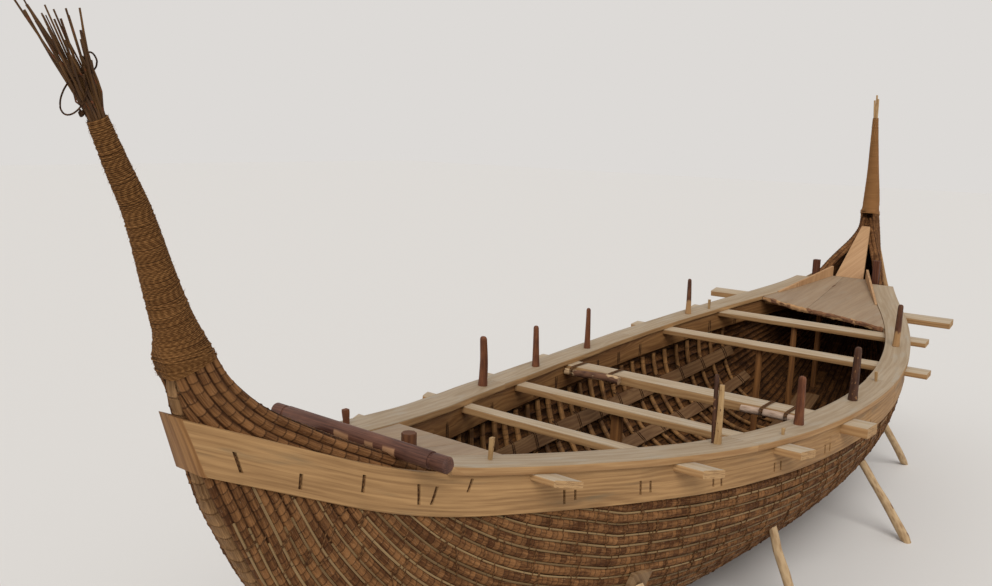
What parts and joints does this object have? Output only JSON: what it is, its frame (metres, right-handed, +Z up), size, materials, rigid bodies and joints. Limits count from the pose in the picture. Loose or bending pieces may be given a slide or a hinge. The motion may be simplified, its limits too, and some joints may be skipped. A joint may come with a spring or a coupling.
{
  "type": "sewn reed boat",
  "caption": "Reed bundle boat with tall bound stems, sewn wale planks, cap boards, beams, end decks and thole pins, standing on keel blocks and props.",
  "frame": {"origin": "on the floor, midway along the length on the centre line", "axes": "+X to the bow, +Y to port, +Z up"},
  "size_m": [9.7773, 3.0058, 3.6941],
  "materials": {
    "reed_bundle": "dull",
    "coir_binding": "dull",
    "reed_end": "dull",
    "wale_plank": "satin",
    "planed_board": "satin",
    "deck_board": "satin",
    "bent_wood": "satin",
    "inner_plank": "satin",
    "peg_wood": "satin",
    "dark_wood": "satin",
    "barked_pole": "dull",
    "prop_timber": "dull"
  },
  "bodies": {
    "root": {"beam_1": "planed_board", "beam_2": "planed_board", "beam_3": "planed_board", "beam_4": "planed_board", "beam_5": "planed_board", "beam_6": "planed_board", "beam_7": "planed_board", "bow_bitt_port": "peg_wood", "bow_bitt_starboard": "peg_wood", "bow_deck": "deck_board", "bow_rail_port": "planed_board", "bow_rail_starboard": "planed_board", "bow_reed_ends": "reed_end", "bow_stem": "coir_binding", "cap_aft_port": "planed_board", "cap_aft_starboard": "planed_board", "cap_fore_port": "planed_board", "cap_fore_starboard": "planed_board", "cap_mid_port": "planed_board", "cap_mid_starboard": "planed_board", "cap_pegs": "peg_wood", "cross_beam": "dark_wood", "hull_port": "reed_bundle", "hull_starboard": "reed_bundle", "inwale_port": "wale_plank", "inwale_starboard": "wale_plank", "keel_blocks": "prop_timber", "keel_bundle": "reed_bundle", "keelson": "inner_plank", "lashed_branch": "barked_pole", "lashed_pole": "barked_pole", "prop_pads_port": "prop_timber", "prop_pads_starboard": "prop_timber", "props_port": "prop_timber", "props_starboard": "prop_timber", "ribs": "bent_wood", "stanchions": "barked_pole", "stem_board": "deck_board", "stern_deck": "deck_board", "stern_post": "peg_wood", "stern_reed_ends": "reed_end", "stern_stem": "coir_binding", "stringers_port": "inner_plank", "stringers_starboard": "inner_plank", "thole_pins": "peg_wood", "wale_end_bow": "wale_plank", "wale_end_stern": "wale_plank", "wale_port": "wale_plank", "wale_starboard": "wale_plank"}
  },
  "joints": []
}
